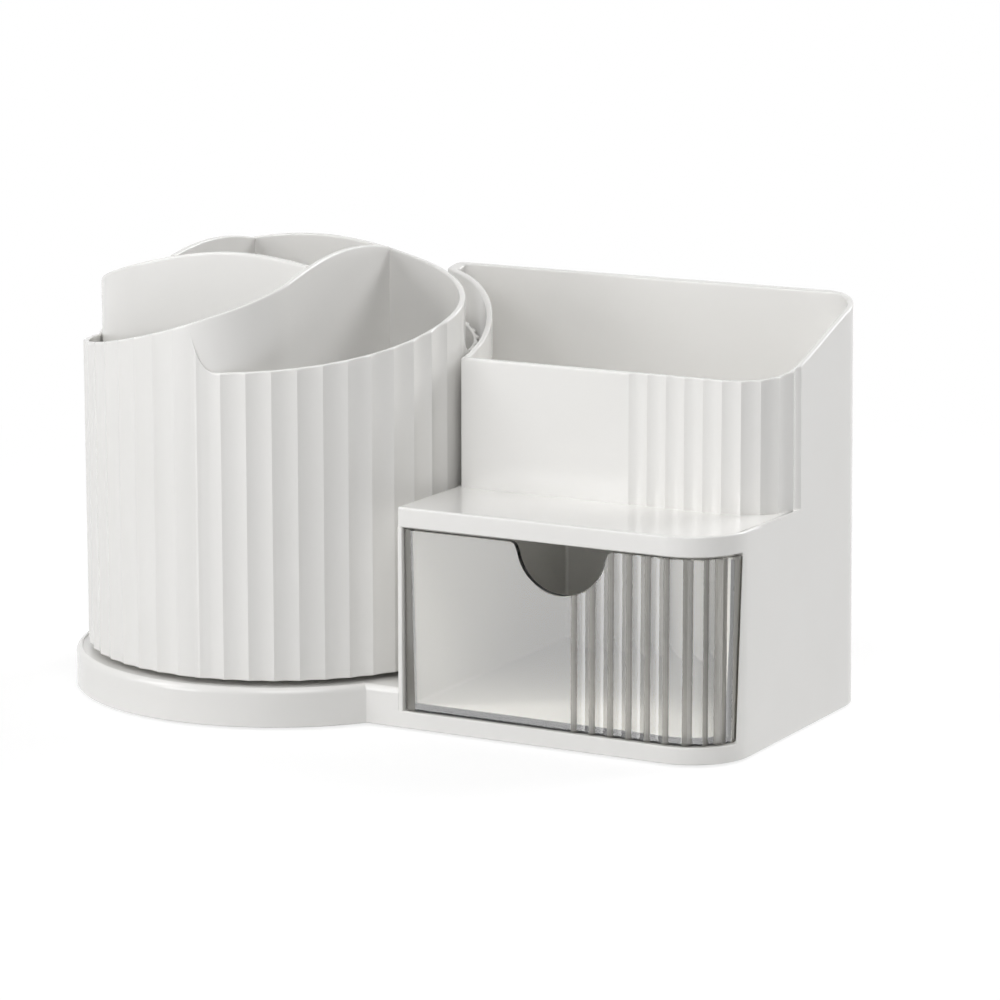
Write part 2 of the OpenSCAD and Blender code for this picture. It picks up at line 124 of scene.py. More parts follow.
def seam_angle(z):
    """Angle at which the drawer's turned corner meets the housing, at a height."""
    return SEAM_LOW + (SEAM_TOP - SEAM_LOW) * (z - DRAWER_LOW) / (DRAWER_TOP - DRAWER_LOW)


def flute_dip(f):
    """How far a flute's face lies under its ridges, at a part of its width."""
    part = f - floor(f)
    return 4 * FLUTE_DEPTH * part * (1 - part)


def bevel_width(z):
    """Width of the bevel on the drawer's front, at a height."""
    return BEVEL_LOW + (BEVEL_TOP - BEVEL_LOW) * (z - DRAWER_LOW) / (DRAWER_TOP - DRAWER_LOW)


def bin_rim(y):
    """Height of the bin's rim, at a place from front to back."""
    a, b, c = BIN_RIM
    y = min(max(y, a[0]), c[0])
    return between(y, a, b) if y < b[0] else between(y, b, c)


def bin_flutes():
    """Places and dips along the bin's flutes, counted in flutes from the start to the end of the corner."""
    whole = 2 * FLUTES - 1
    dips = [(i, flute_dip(i / FLUTE_STEPS)) for i in range(FLUTE_STEPS * whole)]
    places = [(BIN_LATE + BIN_WIDE * i / FLUTE_STEPS, dip) for i, dip in dips]
    # The last flute takes up what is left
    rest = 2 * FLUTES - BIN_LATE - BIN_WIDE * whole
    for i in range(FLUTE_STEPS + 1):
        places.append((2 * FLUTES - rest * (1 - i / FLUTE_STEPS), flute_dip(i / FLUTE_STEPS)))
    return places


def body_outline(inset, y0, edge_r, fluted=0.0, flare=0.0):
    """Outline of the housing or the bin, anticlockwise from the front left, drawn in by an inset.
    Each point has its place in plan, how it leans in as the wall rises, and its stretch of the outline."""
    left, front = WELL_R + inset, y0 + inset
    side, back, tail = SIDE_X - inset, BACK_Y - inset, TAIL_X + TIP_SHORT * inset
    out = []

    def add(stretch, points, lean=lambda x, y: (0.0, 0.0)):
        out.extend((x, y, *lean(x, y), stretch) for x, y in points)

    add("edge", arc(left + flare + edge_r, front + edge_r, edge_r, 180, 270, 6))
    flutes = bin_flutes()
    first = FLUTE_START + FLUTE_PITCH * flutes[0][0]
    add("front", [(x, front) for x in steps(left + flare + edge_r + HOLD, first, 8, last=False)])
    flat = [(at, dip) for at, dip in flutes if at < FLUTES]
    add("front", [(FLUTE_START + FLUTE_PITCH * at, front + fluted * dip) for at, dip in flat])
    cx, cy = SIDE_X - CORNER_R, y0 + CORNER_R
    for at, dip in flutes:
        if at >= FLUTES:
            r = CORNER_R - inset - fluted * dip
            turned = pi / 2 * (at / FLUTES - 2)
            stretch = "front" if degrees(turned) < SEAM_TOP else "turn"
            out.append((cx + r * cos(turned), cy + r * sin(turned), cos(turned), 0.0, stretch))
    ys = steps(cy, BACK_Y - BACK_R, 14, first=False, last=False)
    add("side", [(side, y) for y in ys], lambda x, y: (1.0, 0.0))
    cx, cy, r = SIDE_X - BACK_R, BACK_Y - BACK_R, BACK_R - inset
    add("back", arc(cx, cy, r, 0, 90, 14), lambda x, y: ((x - cx) / r, (y - cy) / r))
    tx, ty, tr = tail + TAIL_R - inset, BACK_Y - TAIL_R, TAIL_R - inset
    add("back", [(x, back) for x in steps(cx, tx, 16, first=False, last=False)], lambda x, y: (0.0, 1.0))
    add("back", arc(tx, ty, tr, 90, 180, 10), lambda x, y: ((x - tx) / tr, (y - ty) / tr))
    tip = max(TIP_LEAST, TIP_R - inset)
    lx = tail + tip
    ly = sqrt((WELL_R + inset + tip) ** 2 - lx ** 2)
    meets = degrees(atan2(ly, lx))
    add("back", [(tail, y) for y in steps(ty, ly, 3, first=False, last=False)], lambda x, y: (-1.0, 0.0))
    add("back", arc(lx, ly, tip, 180, 180 + meets, 8), lambda x, y: (min(0.0, (x - lx) / tip), 0.0))
    add("hollow", arc(0, 0, WELL_R + inset, meets, BIN_MEETS if flare else 0.0, 32)[1:])
    x1, y1 = out[-1][:2]
    x2, y2 = left + flare, front + edge_r
    add("left", [(x1 + (x2 - x1) * t, y1 + (y2 - y1) * t) for t in steps(0, 0.96, 8, first=False)])
    return out


def stand(column, z):
    """Place of an outline's point at a height, leaned in as its wall is."""
    x, y, lx, ly = column[:4]
    return (x - lx * LEAN * z, y - ly * LEAN * z, z)


# Modelling

def skin(name, rings):
    """Skins a row of outlines: a circle is laid on the first one, every extrude on the next, and both ends
    are closed."""
    count = len(rings[0])
    bpy.ops.object.select_all(action="DESELECT")
    bpy.ops.mesh.primitive_circle_add(vertices=count, radius=1, fill_type="NOTHING", enter_editmode=True)
    piece = bpy.context.object
    bpy.ops.mesh.select_all(action="SELECT")
    for i, ring in enumerate(rings):
        if i:
            bpy.ops.mesh.extrude_region_move()
        mesh = bmesh.from_edit_mesh(piece.data)
        mesh.verts.ensure_lookup_table()
        for vertex, place in zip(mesh.verts[i * count:], ring):
            vertex.co = place
        bmesh.update_edit_mesh(piece.data)
    bpy.ops.mesh.edge_face_add()
    bpy.ops.mesh.select_all(action="DESELECT")
    mesh = bmesh.from_edit_mesh(piece.data)
    mesh.verts.ensure_lookup_table()
    for vertex in mesh.verts[:count]:
        vertex.select = True
    mesh.select_flush(True)
    bmesh.update_edit_mesh(piece.data)
    bpy.ops.mesh.edge_face_add()
    bpy.ops.mesh.select_all(action="SELECT")
    bpy.ops.mesh.remove_doubles(threshold=0.003)
    bpy.ops.mesh.normals_make_consistent(inside=False)
    bpy.ops.object.mode_set(mode="OBJECT")
    piece.name = piece.data.name = name
    return piece


def joined(name, *parts):
    """Joins shells into one piece."""
    bpy.ops.object.select_all(action="DESELECT")
    for part in parts:
        part.select_set(True)
    bpy.context.view_layer.objects.active = parts[0]
    bpy.ops.object.join()
    piece = bpy.context.object
    piece.name = piece.data.name = name
    return piece


def place(piece, material, body, slot, *nodes):
    """Sets a finished piece in the shared frame, smooth but for its creases, and lets it ride on its body."""
    bpy.ops.object.select_all(action="DESELECT")
    piece.select_set(True)
    bpy.context.view_layer.objects.active = piece
    piece.scale = (0.001, 0.001, 0.001)
    piece.location = (ROW_X / 1000, 0, ROW_Z / 1000)
    bpy.ops.object.transform_apply(location=True, rotation=True, scale=True)
    bpy.ops.object.shade_smooth_by_angle(angle=radians(CREASE))
    piece.data.materials.clear()
    piece.data.materials.append(material)
    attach(piece, body)
    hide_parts(*nodes)
    return piece


def round_ring(r, z, n=180):
    """Points round the drum's axis at a height."""
    return [(r * cos(2 * pi * i / n), r * sin(2 * pi * i / n), z) for i in range(n)]


def base_outline(inset):
    """Outline of the whole base: ledge and bay front, right side, back, tail, and the turntable's round."""
    front, side, back, tail = FRONT_Y + inset, SIDE_X - inset, BACK_Y - inset, TAIL_X + inset
    r = BASE_R - inset
    meet = sqrt(r * r - front * front)
    points = [(x, front) for x in [meet] + steps(WELL_R - 2, SIDE_X - CORNER_R, 14, last=False)]
    points += arc(SIDE_X - CORNER_R, FRONT_Y + CORNER_R, CORNER_R - inset, -90, 0, 18)
    points += [(side, y) for y in steps(FRONT_Y + CORNER_R, BACK_Y - BACK_R, 8, first=False, last=False)]
    points += arc(SIDE_X - BACK_R, BACK_Y - BACK_R, BACK_R - inset, 0, 90, 14)
    points += [(x, back) for x in steps(SIDE_X - BACK_R, TAIL_X + TAIL_R, 8, first=False, last=False)]
    points += arc(TAIL_X + TAIL_R, BACK_Y - TAIL_R, TAIL_R - inset, 90, 180, 8)
    top = degrees(atan2(sqrt(r * r - tail * tail), tail))
    points += arc(0, 0, r, top, 70, 1) + arc(0, 0, r, 72, 322, 125)
    return points


def base_moulding():
    """The base: a low floor under everything, the turntable's plate with its soft edge, and the ledge
    beside it."""
    outline = base_outline(0)
    # Under the drawer the floor's front edge is seen, and softened
    exposed = [1.0 if y < FRONT_Y + 12 and x > WELL_R + WALL else 0.0 for x, y in outline]
    softened = 0.4

    def ring(inset, z):
        return [(x, y, z) for x, y in base_outline(inset)]

    soft = [(a[0] + (b[0] - a[0]) * e, a[1] + (b[1] - a[1]) * e, BAY_FLOOR)
            for a, b, e in zip(ring(0, 0), ring(softened, 0), exposed)]
    low = [(x, y, BAY_FLOOR - softened * e) for (x, y), e in zip(outline, exposed)]
    # The right side, the back and the tail lean in as the walls on them do
    for i, (x, y, z) in enumerate(ring(LEAN * BAY_FLOOR, BAY_FLOOR)):
        if not exposed[i] and hypot(*outline[i]) > BASE_R + 0.1 and y > FRONT_Y + CORNER_R / 2:
            low[i] = soft[i] = (x, y, z)
    plate = skin("base_floor", [ring(2, 1.7), ring(2, 0), ring(0.35, 0), ring(0, 0.35), low, soft])
    edge = 2.0
    rings = [round_ring(BASE_R - 3, BAY_FLOOR)]
    rings += [round_ring(BASE_R, z) for z in (BAY_FLOOR, BASE_H - edge - HOLD, BASE_H - edge)]
    for a in (15, 30, 45, 60, 72, 82):
        c, s = cos(radians(a)), sin(radians(a))
        rings.append(round_ring(BASE_R - edge + edge * c, BASE_H - edge + edge * s))
    rings += [round_ring(WELL_R - 0.15, BASE_H - 0.12), round_ring(WELL_R - 0.25, RECESS_Z)]
    turntable = skin("turntable", rings)
    front = [(x, FRONT_Y) for x in steps(50.4, WELL_R, 8)]
    rest = [(WELL_R, y) for y in steps(FRONT_Y, -4, 6, first=False)]
    rest += arc(0, 0, WELL_R + 0.05, -4, -37.5, 20)

    def ledge_ring(inset, z):
        return [(x, y + inset, z) for x, y in front] + [(x, max(y, FRONT_Y + inset), z) for x, y in rest]

    edge = 1.6
    rings = [ledge_ring(0, BAY_FLOOR), ledge_ring(0, BASE_H - edge - HOLD)]
    for a in steps(0, 90, 6):
        rings.append(ledge_ring(edge * (1 - cos(radians(a))), BASE_H - edge + edge * sin(radians(a))))
    rings += [ledge_ring(edge + HOLD, BASE_H)]
    return joined("base_moulding", plate, turntable, skin("ledge", rings))


def housing_walls():
    """Walls of the drawer bay: from the right end round the back and the hollow to the front post, and
    back inside."""
    walls = ("side", "back", "hollow", "left")
    outer = [c for c in body_outline(0, FRONT_Y, 0.4) if c[4] in walls]
    inner = [c for c in body_outline(WALL, FRONT_Y, 0.4) if c[4] in walls]
    inner = [(x - (WALL - POST_W), *rest) if rest[3] == "left" else (x, *rest) for x, *rest in inner]
    edge = 0.25
    post = [(x, y, 0, 0, "") for x, y in arc(WELL_R + edge, FRONT_Y + edge, edge, 180, 270, 6)
            + arc(WELL_R + POST_W - edge, FRONT_Y + edge, edge, 270, 360, 6)]
    cx, cy = SIDE_X - CORNER_R, FRONT_Y + CORNER_R

    def ring(z):
        # The wall ends 1.5 degrees behind the drawer, with its end rounded
        end = seam_angle(z) + 1.5
        nose = end - 0.5
        turn_in = arc(cx, cy, CORNER_R - WALL, 0, end, 6) + arc(cx, cy, CORNER_R - WALL + 0.3, nose, nose, 1)
        turn_out = arc(cx, cy, CORNER_R - 0.3, nose, nose, 1) + arc(cx, cy, CORNER_R, end, 0, 6)
        corner = [(x, y, cos(radians(end)), 0, "") for x, y in turn_in + turn_out]
        return [stand(c, z) for c in outer + post + inner[::-1] + corner]

    return skin("housing_walls", [ring(BAY_FLOOR), ring(SHELF_Z)])


def shelf_and_bin():
    """The shelf with the open bin on it, skinned from the shelf's underside up the outside, over the rim
    and down inside."""
    edge, rim, foot = 0.6, 0.55, 0.8
    plain = body_outline(0, FRONT_Y, edge)

    def slab_ring(inset, z, shown=("edge", "front", "turn", "left")):
        return [stand(a if a[4] in shown else b, z if a[4] in shown or z < SHELF_TOP - 1 else SHELF_TOP)
                for a, b in zip(body_outline(inset, FRONT_Y, edge), plain)]

    def rim_ring(inset, fluted, drop):
        return [stand(c, bin_rim(c[1]) - drop) for c in body_outline(inset, BIN_Y, 0.5, fluted, BIN_FLARE)]

    def foot_ring(inset, fluted, z):
        return [stand(c, z) for c in body_outline(inset, BIN_Y, 0.5, fluted, BIN_FLARE)]

    rings = [slab_ring(0.3, SHELF_Z, ("front",)), slab_ring(0, SHELF_Z + 0.3)]
    rings += [slab_ring(0, SHELF_TOP - edge - HOLD - 0.1)]
    rings += [slab_ring(i, SHELF_TOP - d) for i, d in lip(edge)]
    rings += [slab_ring(edge + HOLD, SHELF_TOP), foot_ring(0, 1, SHELF_TOP), rim_ring(0, 1, rim + HOLD)]
    rings += [rim_ring(i, 1 - i, d) for i, d in lip(rim)]
    rings += [rim_ring(WALL - i, 0, d) for i, d in reversed(lip(rim))]
    rings += [rim_ring(WALL, 0, rim + HOLD), foot_ring(WALL, 0, SHELF_TOP + foot + HOLD)]
    rings += [foot_ring(WALL + i, 0, SHELF_TOP + d) for i, d in lip(foot)]
    rings += [foot_ring(WALL + foot + HOLD, 0, SHELF_TOP)]
    return skin("shelf_and_bin", rings)


# Drum

def flute_part(a):
    """Part of a flute's width that lies before an angle on the drum."""
    x = (a - RIDGE_ANGLE) / (360 / DRUM_FLUTES)
    return x - floor(x)


def blade_face(a, k):
    """Inner and outer radius of a blade on the drum's wall; it starts as a skin on the blade before."""
    past = a + 90
    inner = DRUM_R - DRUM_WALL
    # Over its first 4 degrees the skin grows from 0.03 to 0.4 mm
    skin_t = 0.03 + 0.37 * min(1.0, max(0.0, (a - SWOOP_START) / 4))
    if past < 30:
        aside = BEND_X * sin(radians(past))
        before = BEND_X * cos(radians(past)) + sqrt(max(0.0, BEND_OUT**2 - aside**2))
        inner = max(inner, before)
    last_ridge = -flute_part(k * 90) * 360 / DRUM_FLUTES
    if a > last_ridge:
        return inner, DRUM_R
    return inner, max(DRUM_R - flute_dip(flute_part(a + k * 90)), inner + skin_t)


def blade_rim(u):
    """Height of a blade's rim, at a length along the blade from where it leaves the round."""
    if u < LOW_KEY[0]:
        return LOW_KEY[1]
    if u < LEAVE_KEY[0]:
        return between(u, LOW_KEY, LEAVE_KEY)
    return between(u, LEAVE_KEY, TOP_KEY) if u < TOP_KEY[0] else between(u, TOP_KEY, END_KEY)


def blade(k):
    """A blade of the drum, drawn section by section: swoop, fluted wall, bend, straight divider."""
    pitch = 360 / DRUM_FLUTES
    first = ceil((SWOOP_START + k * 90 - RIDGE_ANGLE) / (pitch / FLUTE_STEPS))
    columns = [RIDGE_ANGLE + i * pitch / FLUTE_STEPS - k * 90 for i in range(first, first + 200)]
    angles = [SWOOP_START] + [a for a in columns if SWOOP_START + 0.2 < a < -0.2]
    sections = []
    for a in angles:
        inner, outer = blade_face(a, k)
        c, s = cos(radians(a)), sin(radians(a))
        swoop = SWOOP_H * max(0.0, 1 - (a - SWOOP_START) / (SWOOP_W * TURN_PER_MM)) ** SWOOP_POWER
        top = blade_rim(a / TURN_PER_MM) + swoop
        sections.append(((inner * c, inner * s), (outer * c, outer * s), top))
    for a in steps(0, 90, 24):
        c, s = cos(radians(a)), sin(radians(a))
        sections.append(((BEND_X + BEND_IN * c, BEND_IN * s), (BEND_X + BEND_OUT * c, BEND_OUT * s),
                         blade_rim(BEND_R * radians(a))))
    for x in steps(BEND_X, -BEND_IN - 0.4, 24, first=False):
        sections.append(((x, BEND_IN), (x, BEND_OUT), blade_rim(min(BEND_LENGTH + BEND_X - x, END_KEY[0]))))
    rings = []
    for inner, outer, top in sections:
        t = hypot(inner[0] - outer[0], inner[1] - outer[1])
        rim, foot = min(0.6, 0.48 * t), min(0.3, 0.4 * t)
        profile = [(foot, DRUM_FOOT), (0, DRUM_FOOT + foot), (0, DRUM_FOOT + foot + HOLD)]
        profile += [(0, top - rim - HOLD)]
        profile += [(i, top - d) for i, d in lip(rim)] + [(t - i, top - d) for i, d in reversed(lip(rim))]
        profile += [(t, top - rim - HOLD), (t, DRUM_FOOT)]
        dx, dy = inner[0] - outer[0], inner[1] - outer[1]
        rings.append([(outer[0] + dx * d / t, outer[1] + dy * d / t, z) for d, z in profile])
    piece = skin(f"drum_wall_{k + 1}", rings)
    turn(piece, DRUM_TURN + k * 90)
    return piece


def turn(piece, angle):
    """Turns a piece about the drum's axis."""
    bpy.ops.object.select_all(action="DESELECT")
    piece.select_set(True)
    bpy.context.view_layer.objects.active = piece
    piece.rotation_euler = (0, 0, radians(angle))
    bpy.ops.object.transform_apply(location=False, rotation=True, scale=False)


def second(piece, name):
    """A copy of a blade on the far side of the drum, with its own mesh."""
    bpy.ops.object.select_all(action="DESELECT")
    piece.select_set(True)
    bpy.context.view_layer.objects.active = piece
    bpy.ops.object.duplicate(linked=False)
    copy = bpy.context.object
    copy.name = copy.data.name = name
    turn(copy, 180)
    return copy


def drum_plate():
    """Floor of the drum with its spigot, collar and ball groove underneath."""
    track, ball_z, groove = 40.0, (RECESS_Z + DRUM_FOOT) / 2, 1.83
    profile = [(4.4, 4.2), (5, 4.8), (5, 12.6), (8.9, 12.6), (8.9, DRUM_FOOT)]
    for a in (149, 120, 90, 60, 31):
        profile.append((track + groove * cos(radians(a)), ball_z + groove * sin(radians(a))))
    profile += [(DRUM_R - 1.2, DRUM_FOOT), (DRUM_R - 0.9, DRUM_FOOT + 0.3), (DRUM_R - 0.9, DRUM_FLOOR)]
    return skin("drum_plate", [round_ring(r, z, 120) for r, z in profile])


# Drawer

def notch_depth(x):
    """How far the drawer's rim dips at a place along its front: a half round with a filleted mouth."""
    d = abs(x - NOTCH_X)
    if d >= NOTCH_R + NOTCH_FILLET:
        return 0.0
    if d >= NOTCH_R:
        return NOTCH_FILLET - sqrt(max(0.0, NOTCH_FILLET**2 - (NOTCH_R + NOTCH_FILLET - d)**2))
    return max(NOTCH_FILLET, sqrt(NOTCH_R**2 - d**2))


def drawer_front_columns(bevel):
    """Places along the drawer's front: over the bevel, then the flutes' own, and close ones at the notch."""
    mouth = NOTCH_R + NOTCH_FILLET
    notch = [NOTCH_R * cos(radians(a)) for a in steps(9.5, 170.5, 28)]
    for side in (-1, 1):
        notch += [side * (mouth - NOTCH_FILLET * sin(radians(a))) for a in (0, 20, 40, 60, 80, 90)]
    near = sorted(NOTCH_X + d for d in notch)
    plain = steps(DRAWER_LEFT + 0.4, DRAWER_LEFT + bevel, 4, first=False) + [DRAWER_LEFT + bevel + HOLD]
    plain += steps(DRAWER_LEFT + 5.4, NOTCH_X - mouth, 6, last=False)
    columns = steps(FLUTE_START, SIDE_X - CORNER_R, FLUTES * FLUTE_STEPS, last=False)
    rest = [x for x in columns if x > near[-1] or min(abs(x - n) for n in near) > 0.12]
    return sorted(plain + near + rest)


def drawer_outline(inset, fluted, z):
    """Outline of the drawer at a height, with its fluted corner, anticlockwise from the front left."""
    # The left wall is a fifth thicker than the others
    left, front = DRAWER_LEFT + 1.2 * inset, FRONT_Y + inset
    bevel = bevel_width(z)
    edge = 0.4
    points = arc(left + edge, front + edge, edge, 180, 270, 6)
    for x in drawer_front_columns(bevel):
        dip = flute_dip((x - FLUTE_START) / FLUTE_PITCH) if x > FLUTE_START else 0
        points.append((max(x, left + edge), front + fluted * dip))
    slope = BEVEL_SLOPE * max(0.0, 1 - inset)
    points = [(x, y + slope * max(0.0, DRAWER_LEFT + bevel - x)) for x, y in points]
    cx, cy, r = SIDE_X - CORNER_R, FRONT_Y + CORNER_R, CORNER_R - inset
    seam_y = cy + CORNER_R * sin(radians(seam_angle(z))) - inset
    end = degrees(asin((seam_y - cy) / r))
    # Round the turn 36 columns stand 1.8 degrees apart, ten to a flute, and six more lead up to the seam
    shared = -90 + 1.8 * 36
    for a in steps(-90, shared, 36, last=False) + steps(shared, end, 6):
        d = r - fluted * flute_dip((a + 90) / 90 * FLUTES)
        points.append((cx + d * cos(radians(a)), cy + d * sin(radians(a))))
    side, back = DRAWER_RIGHT - inset, DRAWER_BACK - inset
    points += [(side, y) for y in steps(seam_y, DRAWER_BACK - TRAY_R - 2, 8, last=False)]
    points += arc(DRAWER_RIGHT - TRAY_R - 2, DRAWER_BACK - TRAY_R - 2, TRAY_R + 2 - inset, 0, 90, 10)
    points += [(x, back) for x in steps(DRAWER_RIGHT - TRAY_R - 2, left + 1, 6, first=False, last=False)]
    points += arc(left + 1, back - 1, 1, 90, 180, 6)
    points += [(left, y) for y in steps(back - 1, points[0][1], 8, first=False, last=False)]
    return points


def drawer_moulding():
    """The drawer, skinned from its underside up the outside, over the notched rim, and down inside."""
    dips = [notch_depth(x) if y < FRONT_Y + 1 else 0.0 for x, y in drawer_outline(0, 0, DRAWER_TOP)]

    def low(inset, z, fluted):
        return [(x, y, z) for x, y in drawer_outline(inset, fluted, z)]

    def rim(inset, drop, fluted):
        return [(x, y, DRAWER_TOP - dip - drop)
                for (x, y), dip in zip(drawer_outline(inset, fluted, DRAWER_TOP), dips)]

    foot, edge, floor_r, thick = 0.9, 0.45, 0.8, DRAWER_WALL - 0.05
    rings = [low(foot + HOLD, DRAWER_LOW, 0.6)]
    rings += [low(i, DRAWER_LOW + d, 1 - 0.4 * i / foot) for i, d in reversed(lip(foot))]
    rings += [low(0, DRAWER_LOW + foot + HOLD, 1), rim(0, edge + HOLD, 1)]
    rings += [rim(i, d, 1 - 0.4 * i / edge) for i, d in lip(edge)]
    rings += [rim(thick - i, d, 0) for i, d in reversed(lip(edge))]
    rings += [rim(thick, edge + HOLD, 0)]
    inside, floor_z = DRAWER_WALL + 0.3, DRAWER_LOW + DRAWER_WALL
    rings += [low(inside, floor_z + floor_r + HOLD, 0)]
    rings += [low(inside + i, floor_z + d, 0) for i, d in lip(floor_r)]
    rings += [low(inside + floor_r + HOLD, floor_z, 0)]
    return skin("drawer_moulding", rings)


# Materials

def hex_colour(code):
    """An sRGB hex colour as linear red, green, blue and alpha."""
    parts = [int(code[i:i + 2], 16) / 255 for i in (1, 3, 5)]
    return tuple(p / 12.92 if p <= 0.04045 else ((p + 0.055) / 1.055) ** 2.4 for p in parts) + (1.0,)


def node(tree, kind, inputs=None, **settings):
    """Adds a node with its settings; an input is a value, or the output that feeds it."""
    made = tree.nodes.new(kind)
    for name, value in settings.items():
        setattr(made, name, value)
    for name, value in (inputs or {}).items():
        if isinstance(value, bpy.types.NodeSocket):
            tree.links.new(value, made.inputs[name])
        else:
            made.inputs[name].default_value = value
    return made


def new_material(name):
    """An empty material and its tree of nodes."""
    material = bpy.data.materials.new(name)
    material.use_nodes = True
    material.node_tree.nodes.clear()
    return material, material.node_tree


def white_moulded_plastic():
    """ABS moulded in a finely eroded tool: off-white and satin, with a faint grain, and with soft mirror
    images at a low angle."""
    material, t = new_material("white_moulded_abs")
    place_at = node(t, "ShaderNodeTexCoord").outputs["Object"]
    # Flow of the resin: very faint patches about 30 mm across
    flow = node(t, "ShaderNodeTexNoise", {"Vector": place_at, "Scale": 1000 / 30, "Detail": 2.0})
    tint = node(t, "ShaderNodeMix", {
        0: flow.outputs["Fac"], 6: hex_colour("#F0EFEC"), 7: hex_colour("#F4F3F1")}, data_type="RGBA")
    # Spark-eroded grain, 0.1 mm in the tool; drawn 0.5 mm wide so that it shows at all
    grain = node(t, "ShaderNodeTexNoise", {
        "Vector": place_at, "Scale": 1000 / 0.5, "Detail": 3.0, "Roughness": 0.6})
    rough = node(t, "ShaderNodeMapRange", {"Value": grain.outputs["Fac"], "To Min": 0.12, "To Max": 0.20})
    bump = node(t, "ShaderNodeBump", {"Height": grain.outputs["Fac"], "Strength": 0.12, "Distance": 0.00004})
    shader = node(t, "ShaderNodeBsdfPrincipled", {
        "Base Color": tint.outputs[2], "Roughness": rough.outputs["Result"],
        "Normal": bump.outputs["Normal"], "IOR": 1.53})
    node(t, "ShaderNodeOutputMaterial", {"Surface": shader.outputs["BSDF"]})
    return material


def smoked_polystyrene(name, frosted):
    """Polished clear polystyrene with a light smoke in its depth: clear face on, dark where one looks along
    a wall. Frosted, it is the same plastic from an etched part of the mould: dull and milky from outside the
    wall, clear from within it."""
    material, t = new_material(name)
    place_at = node(t, "ShaderNodeTexCoord").outputs["Object"]
    # Flow of the melt: waves about 20 mm apart that just stir the reflections
    flow = node(t, "ShaderNodeTexNoise", {"Vector": place_at, "Scale": 1000 / 20, "Detail": 1.0})
    rough = node(t, "ShaderNodeMapRange", {"Value": flow.outputs["Fac"], "To Min": 0.0, "To Max": 0.03})
    surface = node(t, "ShaderNodeBsdfPrincipled", {
        "Base Color": hex_colour("#F4F3F0"), "Roughness": rough.outputs["Result"],
        "IOR": 1.59, "Transmission Weight": 1.0})
    if frosted:
        tint = node(t, "ShaderNodeMix", {
            0: flow.outputs["Fac"], 6: hex_colour("#EDEBE3"), 7: hex_colour("#F0EEE7")}, data_type="RGBA")
        milky = node(t, "ShaderNodeBsdfPrincipled", {
            "Base Color": tint.outputs[2], "Roughness": 0.5, "IOR": 1.59, "Transmission Weight": 0.05})
        side = node(t, "ShaderNodeNewGeometry")
        surface = node(t, "ShaderNodeMixShader", {
            0: side.outputs["Backfacing"], 1: milky.outputs["BSDF"], 2: surface.outputs["BSDF"]})
    # Light on its way into the bay goes straight through the thin walls
    path = node(t, "ShaderNodeLightPath")
    passing = node(t, "ShaderNodeMath", {
        0: path.outputs["Is Shadow Ray"], 1: path.outputs["Is Diffuse Ray"]}, operation="MAXIMUM")
    through = node(t, "ShaderNodeBsdfTransparent", {"Color": (1, 1, 1, 1)})
    mix = node(t, "ShaderNodeMixShader", {
        0: passing.outputs[0], 1: surface.outputs[0], 2: through.outputs[0]})
    smoke = node(t, "ShaderNodeVolumeAbsorption", {"Color": hex_colour("#8C8A82"), "Density": 30.0})
    node(t, "ShaderNodeOutputMaterial", {"Surface": mix.outputs[0], "Volume": smoke.outputs[0]})
    return material


def polystyrene_painted_shade():
    """Painted shade on the smoked plastic: a fixed dark colour that stands in for the dark band beside each
    bright flute, where one looks along a flank, through its depth."""
    material, t = new_material("polystyrene_painted_shade")
    # The mesh keeps how far across its flank each face lies; past 1 the painted shade goes on darkening
    across = node(t, "ShaderNodeAttribute", attribute_name="painted_shade_across_flank")
    # Painted shade: the grey darkens across the flank, and goes on darkening past it
    tint = node(t, "ShaderNodeMix", {
        0: across.outputs["Fac"], 6: hex_colour("#B2B0AA"), 7: hex_colour("#7C7A74")},
        data_type="RGBA", clamp_factor=False)
    shader = node(t, "ShaderNodeBsdfPrincipled", {
        "Base Color": tint.outputs[2], "Roughness": 0.12, "IOR": 1.3, "Transmission Weight": 0.5})
    node(t, "ShaderNodeOutputMaterial", {"Surface": shader.outputs["BSDF"]})
    return material


def natural_acetal():
    """Acetal, turned or moulded: creamy, slightly waxy, low sheen with faint tool marks."""
    material, t = new_material("natural_acetal")
    place_at = node(t, "ShaderNodeTexCoord").outputs["Object"]
    marks = node(t, "ShaderNodeTexNoise", {"Vector": place_at, "Scale": 1000 / 1.5, "Detail": 2.0})
    tint = node(t, "ShaderNodeMix", {
        0: marks.outputs["Fac"], 6: hex_colour("#E2DFD2"), 7: hex_colour("#EAE7DC")}, data_type="RGBA")
    rough = node(t, "ShaderNodeMapRange", {"Value": marks.outputs["Fac"], "To Min": 0.3, "To Max": 0.45})
    shader = node(t, "ShaderNodeBsdfPrincipled", {
        "Base Color": tint.outputs[2], "Roughness": rough.outputs["Result"], "IOR": 1.48})
    node(t, "ShaderNodeOutputMaterial", {"Surface": shader.outputs["BSDF"]})
    return material


def zinc_plated_steel():
    """Zinc-plated steel: cool bright metal, a little cloudy where the plating is uneven."""
    material, t = new_material("zinc_plated_steel")
    place_at = node(t, "ShaderNodeTexCoord").outputs["Object"]
    cloud = node(t, "ShaderNodeTexNoise", {"Vector": place_at, "Scale": 1000 / 1.2, "Detail": 4.0})
    tint = node(t, "ShaderNodeMix", {
        0: cloud.outputs["Fac"], 6: hex_colour("#B4B6B9"), 7: hex_colour("#D2D3D4")}, data_type="RGBA")
    rough = node(t, "ShaderNodeMapRange", {"Value": cloud.outputs["Fac"], "To Min": 0.22, "To Max": 0.4})
    shader = node(t, "ShaderNodeBsdfPrincipled", {
        "Base Color": tint.outputs[2], "Metallic": 1.0, "Roughness": rough.outputs["Result"]})
    node(t, "ShaderNodeOutputMaterial", {"Surface": shader.outputs["BSDF"]})
    return material


